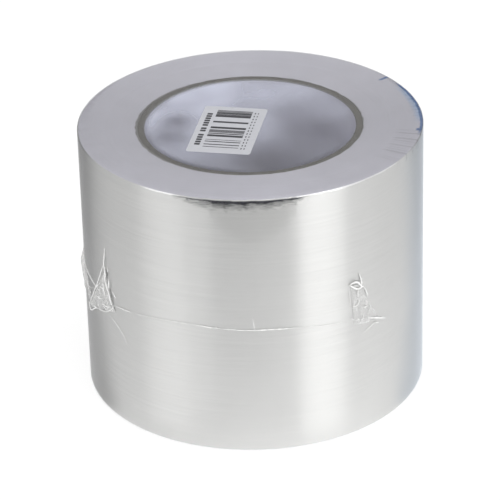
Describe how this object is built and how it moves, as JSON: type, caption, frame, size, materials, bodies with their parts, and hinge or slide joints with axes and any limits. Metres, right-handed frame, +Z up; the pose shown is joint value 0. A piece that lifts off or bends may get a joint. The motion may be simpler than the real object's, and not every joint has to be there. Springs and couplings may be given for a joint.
{
  "type": "roll of aluminium foil tape",
  "caption": "Wide roll of aluminium foil tape on a paper core, sealed in clear shrink film with a sticker over the upper mouth, standing on one end.",
  "frame": {"origin": "centre of the lower end, on the roll's axis, at the underside of the film", "axes": "+Z up along the roll's axis; -Y towards the side with the long weld line; +X to the right of it"},
  "size_m": [0.1256, 0.125, 0.1007],
  "materials": {
    "core_board": "spirally wound grey-brown paper board, cut square at both ends, matt",
    "foil": "bright rolled soft aluminium foil with a fine mill grain round the roll; the wound edges are a paler lilac grey of foil, adhesive and release paper",
    "clear_film": "clear polyolefin shrink film, glossy, tight, with a weld line and crinkled dog ears",
    "sticker_paper": "matt white thermal sticker with dark bars"
  },
  "bodies": {
    "root": {"core": "core_board", "foil_tape": "foil", "shrink_film": "clear_film", "label": "sticker_paper"}
  },
  "joints": []
}
